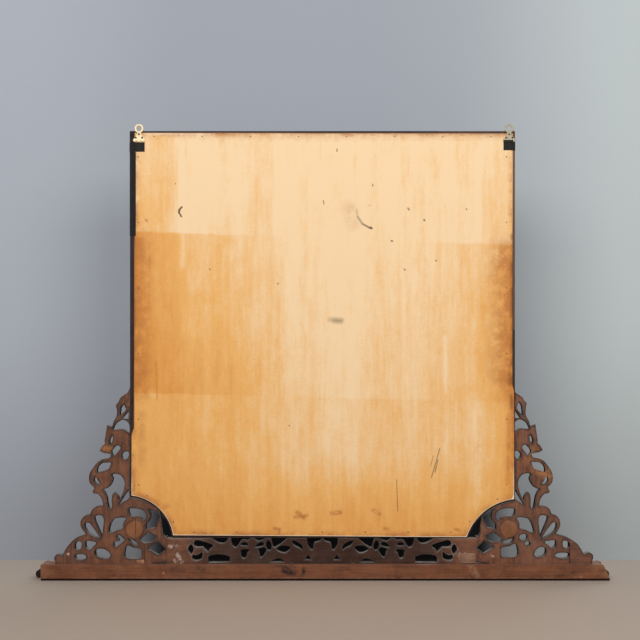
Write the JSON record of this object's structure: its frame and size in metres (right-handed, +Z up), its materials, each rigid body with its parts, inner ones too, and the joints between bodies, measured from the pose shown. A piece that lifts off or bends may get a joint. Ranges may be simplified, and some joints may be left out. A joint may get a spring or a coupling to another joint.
{
  "type": "floor mirror",
  "caption": "Floor mirror with concave lower frame corners, standing on a moulded plinth between pierced carved scroll boards, with brass hanger rings at the back.",
  "frame": {"origin": "on the floor under the centre of the base", "axes": "+Z up, +X to the right of somebody who faces the glass, the glass faces -Y and the backboard +Y"},
  "size_m": [1.4798, 0.0999, 1.1627],
  "materials": {
    "base_wood": "worn satin varnish",
    "carved_wood": "dull, dusty varnish",
    "frame_wood": "dark satin varnish",
    "backboard_wood": "bare, dry",
    "softwood": "bare",
    "silvered_glass": "polished",
    "brass": "tarnished",
    "steel": "dull",
    "cloth_tape": "matt woven"
  },
  "bodies": {
    "root": {"base_rear_rail": "base_wood", "base_front_moulding": "base_wood", "base_return_left": "base_wood", "base_return_right": "base_wood", "base_screws": "steel", "base_dowels": "softwood", "wing_left": "carved_wood", "wing_right": "carved_wood", "wing_end_left": "carved_wood", "corner_scroll_left": "carved_wood", "corner_scroll_right": "carved_wood", "frieze": "carved_wood", "joint_patch": "carved_wood", "repair_cleat": "carved_wood", "wing_dowels": "softwood", "frieze_dowels": "softwood", "frame_top_rail": "frame_wood", "frame_left_stile": "frame_wood", "frame_right_stile": "frame_wood", "frame_bottom_rail": "frame_wood", "frame_left_corner": "frame_wood", "frame_right_corner": "frame_wood", "frame_dowels": "softwood", "mirror_glass": "silvered_glass", "packing_strips": "softwood", "backboard": "backboard_wood", "backboard_nails": "steel", "hanger_left": "brass", "hanger_right": "brass", "hanger_screws_left": "steel", "hanger_screws_right": "steel", "tape_patch_left": "cloth_tape", "tape_patch_right": "cloth_tape", "tape_strip": "cloth_tape"}
  },
  "joints": []
}
